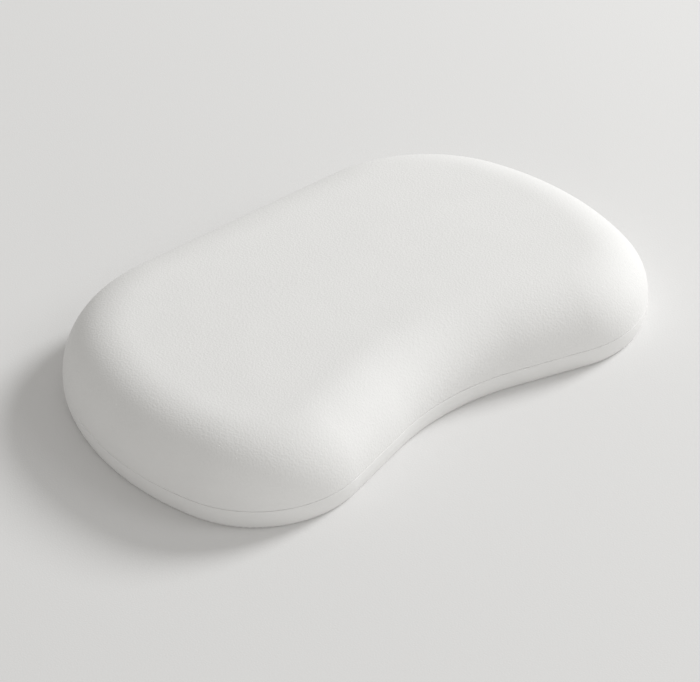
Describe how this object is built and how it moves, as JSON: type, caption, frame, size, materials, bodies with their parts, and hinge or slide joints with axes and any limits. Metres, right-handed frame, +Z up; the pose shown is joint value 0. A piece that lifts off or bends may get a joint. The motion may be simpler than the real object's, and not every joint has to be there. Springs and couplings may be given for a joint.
{
  "type": "contoured neck traction pillow",
  "caption": "Kidney-shaped foam neck pillow with a hollow front edge, a soft rounded shoulder and a zipped cover, for passive neck traction lying down.",
  "frame": {"origin": "middle of the footprint's bounding box, on the surface that the pillow lies on", "axes": "+Z up, X along the pillow's length, -Y towards the hollow front edge that takes the neck, +Y towards the straight back edge with the zip"},
  "size_m": [0.56, 0.3536, 0.076],
  "materials": {
    "cover_fabric": "matt, fine pebble grain",
    "band_fabric": "matt, smooth fine knit",
    "base_fabric": "matt plain weave",
    "thread": "spun polyester thread",
    "liner_knit": "thin jersey knit",
    "comfort_foam": "open-cell memory foam",
    "support_foam": "open-cell support foam",
    "zip_tape": "woven polyester tape",
    "zip_coil": "satin nylon coil",
    "zip_metal": "satin nickel plate"
  },
  "bodies": {
    "pillow": {"cover_top": "cover_fabric", "cover_band": "band_fabric", "cover_base": "base_fabric", "seam_thread_upper": "thread", "seam_thread_lower": "thread", "liner_top": "liner_knit", "liner_bottom": "liner_knit", "foam_comfort_layer": "comfort_foam", "foam_support_layer": "support_foam", "zip_tape_upper": "zip_tape", "zip_tape_lower": "zip_tape", "zip_coil_upper": "zip_coil", "zip_coil_lower": "zip_coil", "zip_top_stops": "zip_metal", "zip_bottom_stop": "zip_metal"},
    "slider": {"zip_slider": "zip_metal"},
    "pull_tab": {"zip_pull_tab": "zip_metal"}
  },
  "joints": [
    {"name": "zip_slide", "type": "slide", "parent": "pillow", "child": "slider", "axis": [-1, 0, 0], "range_m": [0, 0.202]},
    {"name": "tab_flip", "type": "hinge", "parent": "slider", "child": "pull_tab", "pos_m": [0.101, 0.1759, 0.0206], "axis": [0, 0, -1], "range_deg": [0, 180]}
  ]
}
